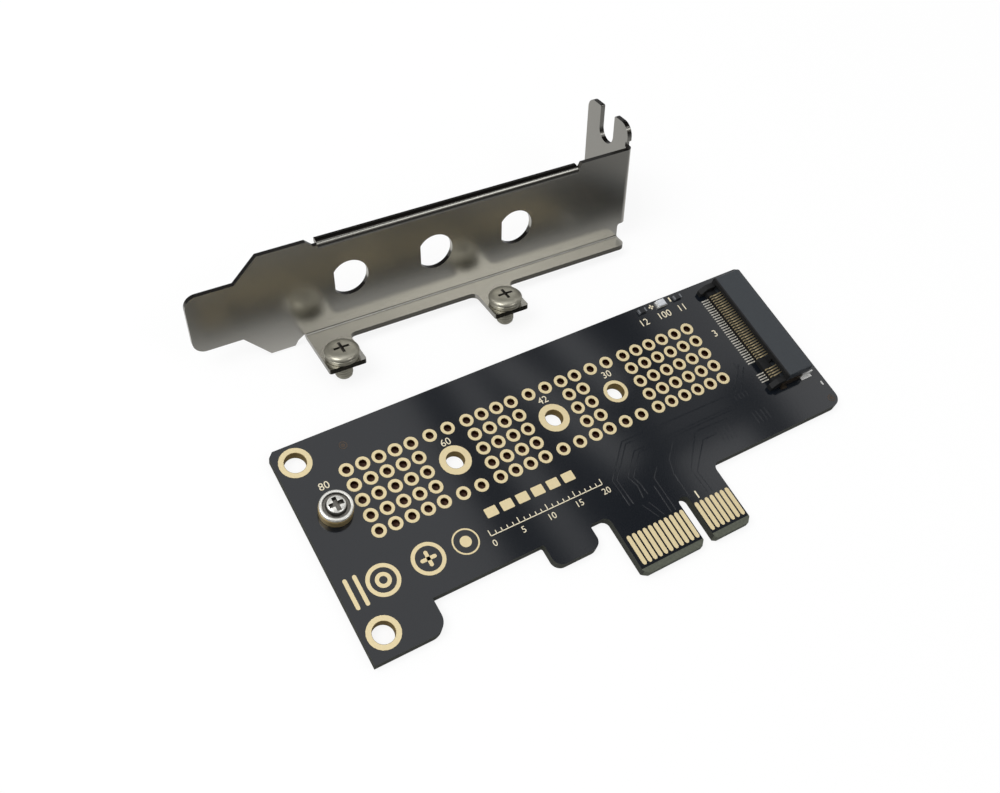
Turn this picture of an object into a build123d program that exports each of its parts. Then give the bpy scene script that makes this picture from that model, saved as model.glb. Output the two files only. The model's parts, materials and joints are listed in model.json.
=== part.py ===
from build123d import *
import math
import os

# Low-profile adapter card for a plug-in solid-state drive, with its mounting bracket taken off.
# Millimetres. The board lies flat with its underside on Z = 0 and its component side up.
# X runs along the long edge, Y from the edge connector towards the back edge.
# The origin is where the centre line of the connector's key meets its leading edge.

# Circuit board
board_thickness = 1.6
board_left = -54.17
board_right = 36.2
board_back = 41.66
board_front = 10.88
back_left_chamfer = 0.8
back_right_chamfer = 0.9
front_right_radius = 1.9

# Foot of the board beside the bracket
foot_width = 11.6
foot_reach = 5.06
foot_radius = 2.4

# Hook that a card slot's latch holds
hook_left = -23.86
hook_width = 8.02
hook_reach = 4.0
hook_radius = 1.6
hook_relief_width = 3.36
hook_relief_depth = 0.3

# Edge connector
contact_pitch = 1.0
contacts_long = 11
contacts_short = 7
contact_to_key = 1.5
contact_width = 0.7
contact_start = 1.4
contact_length = 5.15
contact_end_facets = 3
tongue_left_margin = 0.95
tongue_right_margin = 0.63
tongue_corner = 0.8
key_width = 1.9
key_depth = 8.25
key_lead_in = 0.4
neck_radius = 1.2
bevel_length = 0.53
bevel_depth = 0.4
plating = 0.04
cut_past = 1.0

# Drive: its lengths, the seat in the socket and the fixing holes
drive_lengths = (80.0, 60.0, 42.0, 30.0)
drive_stop = 30.96
drive_axis = 28.90
drive_hole_radius = 1.5
drive_pad_radii = (2.53, 2.53, 2.08)
pad_thickness = 0.05
pad_facets = 24

# Bracket fixing holes in the board
bracket_hole_inset = 3.15
bracket_hole_to_front = 3.65
bracket_hole_spacing = 29.07
bracket_hole_radius = 1.72
bracket_pad_radius = 2.53

# Cooling holes: a block after each drive hole, and pairs above and below all but the first
vent_radius = 0.62
vent_facets = 8
vent_pitch = 2.71
vent_row_pitch = 2.72
vent_rows = 5
vent_columns = (5, 4, 2, 6)
vent_block_starts = (4.31, 4.95, 4.58, 4.99)
vent_pair_offset = 1.58

# Drive socket, measured along X from the drive's stop
slot_width = 20.1
socket_cheek_width = 0.95
socket_height = 3.2
socket_front_reach = 4.29
socket_cover_reach = 2.79
socket_back_wall = 2.54
slot_floor = 0.9
slot_ceiling = 2.35
slot_depth_play = 0.25
cheek_reach = 1.12
cheek_height = 1.9
cheek_slope = 1.1
socket_edge_radius = 0.25
pin_pitch = 0.5
pin_width = 0.2
pin_thickness = 0.12
pin_play = 0.05
lower_pin_places = 37
upper_pin_places = 38
key_first_pin = 29
key_pins = 4
key_rib_width = 1.0
groove_floor = 0.3
comb_thickness = 0.55
tail_reach = 1.4
pin_crest = 0.88
pin_dip = 0.7
pin_tip = 1.1
tail_exit_height = 0.9
lug_thickness = 0.2
lug_height = 1.3
lug_reach = 0.65
lug_front_foot = 1.2
lug_back_foot = 2.2
lug_span = 6.7
lug_back_overhang = 0.8

# Drive standoff and its screw
standoff_radius = 2.62
standoff_height = 1.5
standoff_bore = 1.02
standoff_play = 0.05
standoff_foot_gap = 0.1
drive_screw_radius = 1.0
drive_screw_length = 2.4
drive_head_radius = 2.52
drive_head_rim = 0.45
drive_dome_radius = 2.05
drive_dome_height = 1.1
drive_dome_round = 0.4

# Status light and its two resistors, near the back edge
light_x = 18.07
light_to_back = 1.11
light_length = 2.0
light_width = 1.25
light_base = 0.35
light_lens = 0.45
light_lens_length = 1.5
light_lens_round = 0.12
resistor_length = 1.6
resistor_width = 0.8
resistor_height = 0.45
metal_end = 0.3
resistor_left_offset = -4.0
resistor_right_offset = 3.55

# Bracket, before it is stood up: X from its left tab hole, Y back from its face, Z up from its tabs
sheet = 0.86
bend_radius = 0.3
face_top = 16.98
face_width = 18.42
bracket_left = -20.65
bracket_right = 57.95
tongue_drop = 3.9
tongue_width = 10.19
tongue_root = -12.95
tongue_radius = 2.0
shoulder_run = 4.0
lower_edge_end = -4.96
lower_edge_notch = 0.9
flange_right = 56.1
flange_reach = 2.9
flange_radius = 1.2
tab_half_width = 3.1
tab_reach = 9.9
tab_corner = 0.4
tab_root_radius = 1.1
tab_hole_out = 7.5
tab_hole_radius = 1.6
lip_left = 0.6
lip_right = 47.1
lip_drop = 0.53
lip_reach = 1.55
lip_notch = 1.1
lip_notch_run = 0.6
face_hole_radius = 3.13
face_hole_flat = 2.58
face_hole_first = 5.28
face_hole_pitch = 14.9
face_holes = 3
face_hole_drop = 8.58
ear_bottom = 2.5
ear_rise = 3.92
ear_reach = 13.1
ear_corner = 0.2
ear_slot_out = 7.15
ear_slot_width = 4.2
ear_slot_depth = 6.0
ear_far_radius = 1.8
ear_near_radius = 2.2
ear_relief_rise = 0.9
ear_relief_width = 0.5

# Bracket screws
screw_radius = 1.45
screw_length = 3.9
screw_head_radius = 2.8
screw_head_height = 1.8
screw_head_side = 0.8
screw_head_flat = 1.8
screw_point = 0.3
recess_width = 0.75
recess_span = 2.6
recess_depth = 1.0

# Where the bracket stands behind the board, leaning back on its ear
bracket_lean = 18.36
bracket_heading = -2.21
bracket_x = -37.0
bracket_behind = 16.94

top = board_thickness
foot_front = board_front - foot_reach
tongue_left = -contact_to_key - (contacts_long - 1) * contact_pitch - tongue_left_margin
tongue_right = contact_to_key + (contacts_short - 1) * contact_pitch + tongue_right_margin
socket_width = slot_width + 2 * socket_cheek_width
socket_front = drive_stop - socket_front_reach
socket_cover = drive_stop - socket_cover_reach
socket_back = drive_stop + socket_back_wall
slot_end = drive_stop + slot_depth_play
pin_groove = pin_width + 2 * pin_play
light_y = board_back - light_to_back
face_bottom = face_top - face_width
outer_bend = sheet + bend_radius


def rounded(corners):
    """Flat outline through (x, y, radius) corners, a radius of 0 being sharp."""
    face = make_face(Polyline([(x, y) for x, y, _ in corners], close=True))
    for x, y, radius in corners:
        if radius > 0:
            corner = face.vertices().sort_by_distance((x, y, 0))[0]
            face = fillet(corner, radius)
    return face


def prism(corners, low, high):
    """Outline raised from one height to another."""
    return Pos(0, 0, low) * extrude(rounded(corners), high - low)


def block(x, y, z):
    """Box between the low and high values of each direction."""
    size = [b - a for a, b in (x, y, z)]
    return Pos(x[0], y[0], z[0]) * Box(*size, align=(Align.MIN, Align.MIN, Align.MIN))


def chip(x, y, low, length, width, height):
    """Small box centred on a place on the board."""
    return Pos(x, y, low) * Box(length, width, height, align=(Align.CENTER, Align.CENTER, Align.MIN))


def rod(x, y, low, high, radius):
    """Upright cylinder."""
    return Pos(x, y, low) * Cylinder(radius, high - low, align=(Align.CENTER, Align.CENTER, Align.MIN))


def pad(x, y, outer, inner):
    """Thin plated ring on the board, with flats round its edges."""
    ring = RegularPolygon(outer, pad_facets) - RegularPolygon(inner, pad_facets, major_radius=False)
    return Pos(x, y, top) * extrude(ring, pad_thickness)


def turned(points):
    """Solid turned about Z from a half section of (radius, height) points."""
    return revolve(make_face(Plane.XZ * Polyline(points, close=True)), Axis.Z)


def strip(points, thickness):
    """Section of a thin bent strip that follows a centre line, with mitred bends."""
    half = thickness / 2
    line = [Vector(*p) for p in points]
    steps = [(b - a).normalized() for a, b in zip(line, line[1:])]
    normals = [Vector(-s.Y, s.X) for s in steps]
    upper = []
    lower = []
    for i, p in enumerate(line):
        before = normals[max(i - 1, 0)]
        after = normals[min(i, len(normals) - 1)]
        mitre = (before + after).normalized()
        reach = half / mitre.dot(after)
        upper.append(p + mitre * reach)
        lower.append(p - mitre * reach)
    return make_face(Polyline([(p.X, p.Y) for p in upper + lower[::-1]], close=True))


def drive_holes():
    """X of each drive fixing hole, from the drive's stop in the socket."""
    return [drive_stop - length for length in drive_lengths]


def vent_centres():
    """Centres of the cooling holes."""
    middle = (vent_rows - 1) / 2
    rows = [drive_axis + (middle - r) * vent_row_pitch for r in range(vent_rows)]
    centres = []
    for hole, start, columns in zip(drive_holes(), vent_block_starts, vent_columns):
        centres += [(hole + start + i * vent_pitch, y) for i in range(columns) for y in rows]
    for hole in drive_holes()[1:]:
        centres += [(hole + side * vent_pair_offset, y) for side in (-1, 1) for y in (rows[0], rows[-1])]
    return centres


def bracket_holes():
    """Centres of the two bracket fixing holes."""
    x = board_left + bracket_hole_inset
    y = foot_front + bracket_hole_to_front
    return [(x, y + i * bracket_hole_spacing) for i in (0, 1)]


def contact_places():
    """X of each edge contact, both sides of the key."""
    long_side = [-contact_to_key - i * contact_pitch for i in range(contacts_long)]
    short_side = [contact_to_key + i * contact_pitch for i in range(contacts_short)]
    return long_side[::-1] + short_side


def board_outline():
    half_key = key_width / 2
    hook_right = hook_left + hook_width
    foot_right = board_left + foot_width
    relief = board_front - hook_relief_depth
    neck = min(neck_radius, 0.45 * (tongue_left - hook_right))
    return [
        (board_left, foot_front, 0),
        (foot_right, foot_front, foot_radius),
        (foot_right, board_front, 0),
        (hook_left, board_front, 0.3),
        (hook_left, board_front - hook_reach, hook_radius),
        (hook_right, board_front - hook_reach, hook_radius),
        (hook_right, relief, neck / 2),
        (tongue_left, relief, neck),
        (tongue_left, tongue_corner, 0),
        (tongue_left + tongue_corner, 0, 0),
        (-half_key - tongue_corner, 0, 0),
        (-half_key, tongue_corner, 0),
        (-half_key, key_depth, half_key * 0.95),
        (half_key, key_depth, half_key * 0.95),
        (half_key, key_lead_in, 0),
        (half_key + key_lead_in, 0, 0),
        (tongue_right - tongue_corner, 0, 0),
        (tongue_right, tongue_corner, 0),
        (tongue_right, board_front, neck_radius),
        (board_right, board_front, front_right_radius),
        (board_right, board_back - back_right_chamfer / 2, 0),
        (board_right - back_right_chamfer, board_back, 0),
        (board_left + back_left_chamfer, board_back, 0),
        (board_left, board_back - back_left_chamfer, 0),
    ]


def bevel(height, direction):
    """Wedge that bevels the connector's leading edge on one face."""
    inner = height - direction * bevel_depth
    outside = height + direction * cut_past
    section = Polyline([(-cut_past, outside), (bevel_length, outside), (bevel_length, height), (0, inner),
                        (-cut_past, inner)], close=True)
    wedge = extrude(make_face(Plane.YZ * section), tongue_right - tongue_left + 2 * cut_past)
    return Pos(tongue_left - cut_past, 0, 0) * wedge


def contacts(low, high):
    """Row of edge contacts with round ends, each end in a few facets."""
    radius = contact_width / 2
    reach = contact_length / 2 - radius
    turns = [math.pi * i / contact_end_facets for i in range(contact_end_facets + 1)]
    arc = [(radius * math.cos(t), reach + radius * math.sin(t)) for t in turns]
    outline = arc + [(-x, -y) for x, y in arc]
    shape = extrude(make_face(Polyline(outline, close=True)), high - low)
    middle = contact_start + contact_length / 2
    return [Pos(x, middle, low) * shape for x in contact_places()]


def circuit_board():
    board = prism(board_outline(), 0, board_thickness)
    vent = extrude(RegularPolygon(vent_radius, vent_facets, major_radius=False), top + 2 * cut_past)
    vent = Pos(0, 0, -cut_past) * vent
    cuts = [Pos(x, y, 0) * vent for x, y in vent_centres()]
    cuts += [rod(x, drive_axis, -cut_past, top + cut_past, drive_hole_radius) for x in drive_holes()]
    cuts += [rod(x, y, -cut_past, top + cut_past, bracket_hole_radius) for x, y in bracket_holes()]
    cuts += [bevel(top, 1), bevel(0, -1)]
    cuts += contacts(0, plating)
    return board - cuts


def hole_pads_drive():
    return [pad(x, drive_axis, radius, drive_hole_radius) for x, radius in zip(drive_holes()[1:], drive_pad_radii)]


def hole_pads_bracket():
    return [pad(x, y, bracket_pad_radius, bracket_hole_radius) for x, y in bracket_holes()]


def pin_places(places):
    """Y of each socket contact in a row, with a gap where the key is."""
    key = range(key_first_pin, key_first_pin + key_pins)
    return [drive_axis + ((places - 1) / 2 - k) * pin_pitch for k in range(places) if k not in key]


def key_rib_y():
    """Middle of the key, between the gaps of the two rows."""
    gap = key_first_pin + (key_pins - 1) / 2
    middle = (lower_pin_places + upper_pin_places - 2) / 4
    return drive_axis + (middle - gap) * pin_pitch


def socket_housing():
    half = socket_width / 2
    inner = slot_width / 2
    floor = top + slot_floor
    ceiling = top + slot_ceiling
    width = (drive_axis - half, drive_axis + half)
    body = block((socket_front, socket_back), width, (top, top + socket_height))
    rim = body.edges().filter_by(Axis.Z, reverse=True).group_by(Axis.Z)[-1]
    body = fillet(rim, socket_edge_radius)
    body -= block((socket_front - cut_past, socket_cover), width, (floor, top + socket_height + cut_past))
    body -= block((socket_front - cut_past, slot_end), (drive_axis - inner, drive_axis + inner), (floor, ceiling))
    rib = (key_rib_y() - key_rib_width / 2, key_rib_y() + key_rib_width / 2)
    body += block((socket_cover, slot_end), rib, (floor, ceiling))
    cheek = make_face(Plane.XZ * Polyline([
        (socket_front - cheek_reach, top), (socket_cover, top), (socket_cover, top + cheek_height),
        (socket_front - cheek_reach + cheek_slope, top + cheek_height),
        (socket_front - cheek_reach, floor)], close=True))
    for y in (width[0] + socket_cheek_width, width[1]):
        body += Pos(0, y, 0) * extrude(cheek, socket_cheek_width)
    grooves = []
    for y in pin_places(lower_pin_places):
        span = (y - pin_groove / 2, y + pin_groove / 2)
        comb = (socket_front - cut_past, socket_front + comb_thickness)
        grooves.append(block(comb, span, (top - cut_past, floor + cut_past)))
        grooves.append(block((socket_front, slot_end - 1), span, (top + groove_floor, floor + 0.1)))
    return body - grooves


def lower_contacts():
    """Contacts that press on the drive from below, with their tails in front of the socket."""
    low = pin_thickness / 2
    comb = socket_front + comb_thickness
    shape = Plane.XZ * strip([
        (socket_front - tail_reach, low), (socket_front - pin_play, low),
        (comb - 2 * pin_thickness, pin_crest), (comb + pin_thickness, pin_crest),
        (comb + 3 * pin_thickness, pin_dip), (socket_cover + 1, pin_tip)], pin_thickness)
    return [Pos(0, y + pin_width / 2, top) * extrude(shape, pin_width) for y in pin_places(lower_pin_places)]


def upper_contacts():
    """Tails of the contacts that press from above, behind the socket."""
    low = pin_thickness / 2
    shape = Plane.XZ * strip([(socket_back + low, tail_exit_height), (socket_back + low, low),
                              (socket_back + tail_reach, low)], pin_thickness)
    return [Pos(0, y + pin_width / 2, top) * extrude(shape, pin_width) for y in pin_places(upper_pin_places)]


def hold_down(side):
    """Solder lug along one end of the socket, with two feet on the board."""
    wall = drive_axis + side * socket_width / 2
    outer = wall + side * lug_thickness
    tip = wall + side * lug_reach
    last = socket_back + lug_back_overhang
    first = last - lug_span
    lug = block((first, last), sorted((wall, outer)), (top + lug_thickness, top + lug_height))
    for foot in ((first, first + lug_front_foot), (last - lug_back_foot, last)):
        lug += block(foot, sorted((wall, tip)), (top, top + lug_thickness))
    return lug


def drive_standoff():
    foot = drive_hole_radius - standoff_play
    return Pos(drive_holes()[0], drive_axis, 0) * turned([
        (standoff_bore, standoff_foot_gap), (foot, standoff_foot_gap), (foot, top), (standoff_radius, top),
        (standoff_radius, top + standoff_height), (standoff_bore, top + standoff_height)])


def cross_recess(height, span, width, depth):
    """Cross that a screwdriver fits, cut down from a height."""
    cross = Rectangle(span, width) + Rectangle(width, span)
    return Pos(0, 0, height) * extrude(cross, -depth)


def drive_screw():
    flat = drive_dome_radius - drive_dome_round
    screw = turned([
        (0, drive_dome_height), (flat, drive_dome_height), (drive_dome_radius, drive_head_rim),
        (drive_head_radius, drive_head_rim), (drive_head_radius, 0), (drive_screw_radius, 0),
        (drive_screw_radius, -drive_screw_length), (0, -drive_screw_length)])
    screw -= cross_recess(drive_dome_height, 2 * flat, recess_width, drive_dome_height - drive_head_rim)
    return Pos(drive_holes()[0], drive_axis, top + standoff_height) * screw


def light_lens_part():
    lens = chip(light_x, light_y, top + light_base, light_lens_length, light_width, light_lens)
    return chamfer(lens.edges().group_by(Axis.Z)[-1], light_lens_round)


def metal_ends(x, length, width, height):
    """Pair of metal ends of a small chip part."""
    reach = (length - metal_end) / 2
    return [chip(x + side * reach, light_y, top, metal_end, width, height) for side in (-1, 1)]


def upright(corners, thickness):
    """Outline in X and Z, raised backwards from the plane Y = 0."""
    return Rot(90, 0, 0) * prism(corners, -thickness, 0)


def face_plate():
    """Flat face of the bracket with its tapered tongue, relief notches and flat-sided holes."""
    tongue_bottom = face_top - tongue_drop - tongue_width
    tongue_top = face_top - tongue_drop
    root = tongue_root + shoulder_run
    lip_base = face_top - lip_drop - outer_bend
    notch_bottom = face_top - lip_notch
    plate = upright([
        (bracket_left, tongue_bottom, tongue_radius),
        (tongue_root, tongue_bottom, 0),
        (root, face_bottom, 0),
        (lower_edge_end, face_bottom, 0),
        (lower_edge_end + lip_notch_run, face_bottom + lower_edge_notch, 0),
        (-tab_half_width, bend_radius, 0),
        (flange_right, bend_radius, 0),
        (flange_right, ear_bottom, 0.5),
        (bracket_right - outer_bend, ear_bottom, 0),
        (bracket_right - outer_bend, face_top, 0),
        (lip_right + lip_notch_run, face_top, 0),
        (lip_right, notch_bottom, 0),
        (lip_right, lip_base, 0),
        (lip_left, lip_base, 0),
        (lip_left, notch_bottom, 0),
        (lip_left - lip_notch_run, notch_bottom, 0),
        (lip_left - 3 * lip_notch_run, face_top, 0),
        (root, face_top, 0),
        (tongue_root, tongue_top, 0),
        (bracket_left, tongue_top, tongue_radius),
    ], sheet)
    centre_height = face_top - face_hole_drop
    for i in range(face_holes):
        hole = Rot(90, 0, 0) * Cylinder(face_hole_radius, 4 * sheet)
        size = 2 * face_hole_radius
        hole -= Pos(-face_hole_flat - face_hole_radius, 0, 0) * Box(size, 4 * sheet, size)
        plate -= Pos(face_hole_first + i * face_hole_pitch, 0, centre_height) * hole
    return plate


def quarter_bend(length):
    """Quarter turn of bent sheet about Z, in the corner where X and Y are positive."""
    low = (Align.CENTER, Align.CENTER, Align.MIN)
    tube = Cylinder(outer_bend, length, align=low) - Cylinder(bend_radius, length, align=low)
    return tube & Box(outer_bend, outer_bend, length, align=(Align.MIN, Align.MIN, Align.MIN))


def flange():
    """Folded strip along the foot of the face, with the two tabs that take the screws."""
    outline = [(-tab_half_width, -bend_radius, 0), (-tab_half_width, -tab_reach, tab_corner),
               (tab_half_width, -tab_reach, tab_corner), (tab_half_width, -flange_reach, tab_root_radius)]
    left = bracket_hole_spacing - tab_half_width
    right = bracket_hole_spacing + tab_half_width
    outline += [(left, -flange_reach, tab_root_radius), (left, -tab_reach, tab_corner),
                (right, -tab_reach, tab_corner), (right, -flange_reach, tab_root_radius),
                (flange_right, -flange_reach, flange_radius), (flange_right, -bend_radius, 0)]
    plate = prism(outline, -sheet, 0)
    for x in (0, bracket_hole_spacing):
        plate -= rod(x, -tab_hole_out, -sheet - cut_past, cut_past, tab_hole_radius)
    bend = Rot(0, 90, 0) * quarter_bend(flange_right + tab_half_width)
    return plate + Pos(-tab_half_width, -bend_radius, bend_radius) * bend


def lip():
    """Narrow lip along the top of the face, turned back."""
    height = face_top - lip_drop
    bend = Rot(0, 90, 0) * Rot(0, 0, 180) * quarter_bend(lip_right - lip_left)
    bend = Pos(lip_left, outer_bend, height - outer_bend) * bend
    return bend + block((lip_left, lip_right), (outer_bend, lip_reach), (height - sheet, height))


def ear():
    """Ear at the end of the bracket, turned back, with an open slot for the case screw."""
    half = ear_slot_width / 2
    ear_top = face_top + ear_rise
    slot_bottom = ear_top - ear_slot_depth
    relief = face_top + ear_relief_rise
    near_wall = ear_slot_out - half - sheet
    near_radius = min(ear_near_radius, 0.8 * (ear_rise - ear_relief_rise), 0.6 * near_wall)
    side = rounded([
        (outer_bend, ear_bottom, 0),
        (ear_reach, ear_bottom, ear_corner),
        (ear_reach, ear_top, ear_far_radius),
        (ear_slot_out + half, ear_top, 0.3),
        (ear_slot_out + half, slot_bottom, half * 0.98),
        (ear_slot_out - half, slot_bottom, half * 0.98),
        (ear_slot_out - half, ear_top, 0.3),
        (sheet, ear_top, near_radius),
        (sheet, relief, 0.3),
        (sheet + ear_relief_width, relief, 0),
        (sheet + ear_relief_width, face_top, 0),
        (outer_bend, face_top, 0),
    ])
    plate = Pos(bracket_right - sheet, 0, 0) * extrude(Plane.YZ * side, sheet)
    bend = Rot(0, 0, -90) * quarter_bend(face_top - ear_bottom)
    return plate + Pos(bracket_right - outer_bend, outer_bend, ear_bottom) * bend


def bracket():
    return face_plate() + flange() + lip() + ear()


def bracket_screw(x):
    screw = turned([
        (0, screw_head_height), (screw_head_flat, screw_head_height), (screw_head_radius, screw_head_side),
        (screw_head_radius, 0), (screw_radius, 0), (screw_radius, -screw_length + screw_point),
        (screw_radius - screw_point, -screw_length), (0, -screw_length)])
    screw -= cross_recess(screw_head_height, recess_span, recess_width, recess_depth)
    return Pos(x, -tab_hole_out, 0) * screw


def stood(shapes):
    """Bracket and screws leaned back and set down on the surface behind the board."""
    lean = Rot(0, 0, bracket_heading) * Rot(-bracket_lean, 0, 0)
    leaned = [lean * shape for shape in shapes]
    low = min(shape.bounding_box().min.Z for shape in leaned)
    return [Pos(bracket_x, board_back + bracket_behind, -low) * shape for shape in leaned]


def write(name, shape):
    """Write one node as a STEP file."""
    if isinstance(shape, (list, tuple)):
        shape = Compound(children=list(shape))
    shape.label = name
    export_step(shape, os.path.join("parts", name + ".step"))


os.makedirs("parts", exist_ok=True)
write("circuit_board", circuit_board())
write("hole_pads_drive", hole_pads_drive())
write("hole_pads_bracket", hole_pads_bracket())
write("edge_contacts_front", contacts(top, top + plating))
write("edge_contacts_back", contacts(0, plating))
write("socket_housing", socket_housing())
write("socket_lower_contacts", lower_contacts())
write("socket_upper_contacts", upper_contacts())
write("socket_lug_near", hold_down(-1))
write("socket_lug_far", hold_down(1))
write("drive_standoff", drive_standoff())
write("drive_screw", drive_screw())
write("light_base", chip(light_x, light_y, top, light_length - 2 * metal_end, light_width, light_base))
write("light_lens", light_lens_part())
write("light_ends", metal_ends(light_x, light_length, light_width, light_base))
for side, offset in (("left", resistor_left_offset), ("right", resistor_right_offset)):
    x = light_x + offset
    write("resistor_" + side, chip(x, light_y, top, resistor_length - 2 * metal_end, resistor_width,
                                   resistor_height))
    write("resistor_ends_" + side, metal_ends(x, resistor_length, resistor_width, resistor_height))
names = ("bracket", "bracket_screw_left", "bracket_screw_right")
for name, shape in zip(names, stood([bracket(), bracket_screw(0), bracket_screw(bracket_hole_spacing)])):
    write(name, shape)
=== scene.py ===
import json
import math

import bmesh
import bpy
from bpy.props import FloatProperty, FloatVectorProperty, IntProperty, PointerProperty
from mathutils import Matrix, Vector

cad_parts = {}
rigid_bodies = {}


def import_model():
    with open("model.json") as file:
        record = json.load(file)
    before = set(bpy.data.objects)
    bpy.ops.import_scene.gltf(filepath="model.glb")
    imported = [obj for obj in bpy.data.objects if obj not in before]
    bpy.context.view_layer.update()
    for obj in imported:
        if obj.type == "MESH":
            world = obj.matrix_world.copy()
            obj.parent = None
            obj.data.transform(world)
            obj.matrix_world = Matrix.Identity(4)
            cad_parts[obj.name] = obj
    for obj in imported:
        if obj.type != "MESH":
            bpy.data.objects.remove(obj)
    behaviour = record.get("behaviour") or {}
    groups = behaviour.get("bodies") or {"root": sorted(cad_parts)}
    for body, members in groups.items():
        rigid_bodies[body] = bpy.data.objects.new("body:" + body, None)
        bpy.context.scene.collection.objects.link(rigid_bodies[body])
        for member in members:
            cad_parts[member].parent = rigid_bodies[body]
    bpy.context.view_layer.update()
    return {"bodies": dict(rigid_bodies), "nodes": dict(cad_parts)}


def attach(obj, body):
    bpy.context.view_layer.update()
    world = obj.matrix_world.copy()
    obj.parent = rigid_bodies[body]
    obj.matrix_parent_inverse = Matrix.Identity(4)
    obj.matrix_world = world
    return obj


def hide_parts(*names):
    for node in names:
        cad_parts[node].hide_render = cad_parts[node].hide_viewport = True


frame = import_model()
NODES = frame["nodes"]
BODY = next(iter(frame["bodies"]))

bl_info = {
    "name": "Drive adapter card",
    "version": (1, 0, 0),
    "blender": (4, 5, 0),
    "location": "3D View > Sidebar > Adapter card",
    "description": "Dresses the adapter card with its plating, marks, fasteners and materials",
    "category": "Object",
}

MM = 0.001

# Sides of round pieces, and the angle past which an edge stays sharp
HEAD_SIDES = 64
RING_SIDES = 48
PLUG_SIDES = 12
SHARP_ANGLE = math.radians(35.0)

# Board and drive holes, in millimetres, as in the CAD
BOARD_TOP = 1.6
DRIVE_AXIS = 28.90
DRIVE_STOP = 30.96
DRIVE_LENGTHS = (80.0, 60.0, 42.0, 30.0)
DRIVE_HOLES = [DRIVE_STOP - length for length in DRIVE_LENGTHS]
DRIVE_HOLE_RADIUS = 1.5
BRACKET_HOLES = [(-51.02, 9.47), (-51.02, 38.54)]
BRACKET_HOLE_RADIUS = 1.72
PAD_TOP = 1.65
STANDOFF_TOP = 3.1

# From the connector's edge: where its ground part ends, and where the mask starts
GROUND_END = 0.6
MASK_START = 1.0

# Along X: the socket's comb and slot, its broad cover, and where its lugs turn bright
COMB_START = 26.62
SLOT_START = 26.8
COVER_START = 28.45
LUG_BRIGHT_START = 31.9

# Cooling holes: a block after each drive hole, and pairs above and below all but the first
VENT_PITCH = 2.71
VENT_ROW_PITCH = 2.72
VENT_ROWS = 5
VENT_COLUMNS = (5, 4, 2, 6)
VENT_STARTS = (4.31, 4.95, 4.58, 4.99)
VENT_PAIR = 1.58
VENT_RADIUS = 0.615
# Their rings: rise, width of the outer and the inner slope, and how far the inner one goes down
VENT_RING_RISE = 0.035
VENT_OUTER_SLOPE = 0.03
VENT_INNER_SLOPE = 0.06
VENT_RING_DROP = 0.03
# Dark plugs that stand for the shade down in the holes, as radius and height, a hair inside the walls
VENT_SHADE_PLUG_RADIUS = VENT_RADIUS - 0.005
VENT_SHADE_PLUG = ((0, 0.5), (0.45, 0.55), (VENT_SHADE_PLUG_RADIUS, 0.65), (VENT_SHADE_PLUG_RADIUS, 0.06), (0, 0.12))
# Plated walls of the large holes: thickness, rounding at the ends and overlap with the board
BARREL_WALL = 0.04
BARREL_ROUND = 0.02
BARREL_OVERLAP = 0.005

# Bracket's stand behind the board: lean, heading, foot and the lift that rests it on Z = 0
BRACKET_LEAN = math.radians(-18.36)
BRACKET_HEADING = math.radians(-2.21)
BRACKET_TURN = Matrix.Rotation(BRACKET_HEADING, 4, "Z") @ Matrix.Rotation(BRACKET_LEAN, 4, "X")
BRACKET_FOOT = Vector((-37.0, 58.60, 1.7013)) * MM
TAB_HOLES = [(0.0, -7.5), (29.07, -7.5)]

# Sections of the turned pieces, as radius and height, in millimetres
STANDOFF = ((1.02, 0.1), (1.35, 0.1), (1.45, 0.2), (1.45, 1.6), (2.5, 1.6), (2.6, 1.7), (2.6, 3.0),
            (2.5, STANDOFF_TOP), (1.02, STANDOFF_TOP))
DRIVE_SCREW = ((0, 1.1), (0.8, 1.09), (1.2, 1.03), (1.4, 0.92), (1.5, 0.72), (1.58, 0.5), (1.62, 0.2),
               (2.0, 0.2), (2.04, 0.5), (2.1, 0.6), (2.2, 0.63), (2.36, 0.63), (2.47, 0.56), (2.52, 0.4),
               (2.52, 0.1), (2.46, 0.0), (0.98, 0.0), (0.98, -2.25), (0.84, -2.4), (0, -2.4))
TAB_SCREW = ((0, 1.78), (1.4, 1.74), (2.05, 1.63), (2.5, 1.46), (2.74, 1.24), (2.8, 1.06), (2.74, 0.98),
             (1.6, 0.95), (1.6, 0.74), (2.56, 0.72), (2.64, 0.64), (2.64, 0.1), (2.56, 0.02), (1.34, 0.0),
             (1.34, -3.6), (1.1, -3.9), (0, -3.9))
# Groove round the drive screw's dome, between two radii, painted dark with the recess's painted shade
GROOVE = (1.44, 2.03)

# Camera: where it stood for the photograph, and its right, down and forward directions
CAMERA_PLACE = Vector((-83.235, -30.594, 147.245)) * MM
CAMERA_RIGHT = Vector((0.8550556, -0.4919721, 0.1638393))
CAMERA_DOWN = Vector((-0.3506710, -0.7813827, -0.5162083))
CAMERA_FORWARD = Vector((0.3819813, 0.3839331, -0.8406460))
CAMERA_LENS = 39.186
SENSOR_WIDTH = 36.0

# Soft lights 500 mm overhead, given by the rectangle of the board's face that mirrors each: centre,
# size in millimetres, turn in degrees and brightness
CEILING = 500.0
CEILING_SCALE = 4.43
CEILING_SHIFT = (285.7, 105.0)
SOFTBOXES = (
    ("left_softbox", (-57.3, 22.0), (54.6, 72.0), 0.0, 1.12),
    ("gap_softbox", (-20.4, 26.0), (5.0, 64.0), 4.0, 1.1),
    ("slanted_softbox", (-9.5, 30.0), (5.0, 30.0), 21.0, 1.35),
    ("back_softbox", (-0.6, 37.0), (5.6, 18.0), 15.0, 1.35),
    ("front_strip", (10.0, 9.0), (15.0, 11.0), 0.0, 1.3),
    ("middle_softbox", (10.0, 22.0), (14.0, 10.0), 0.0, 0.4),
    ("back_strip", (20.5, 37.0), (14.0, 28.0), 0.0, 0.8),
    ("right_softbox", (36.5, 20.0), (21.0, 72.0), 0.0, 1.25))

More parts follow.
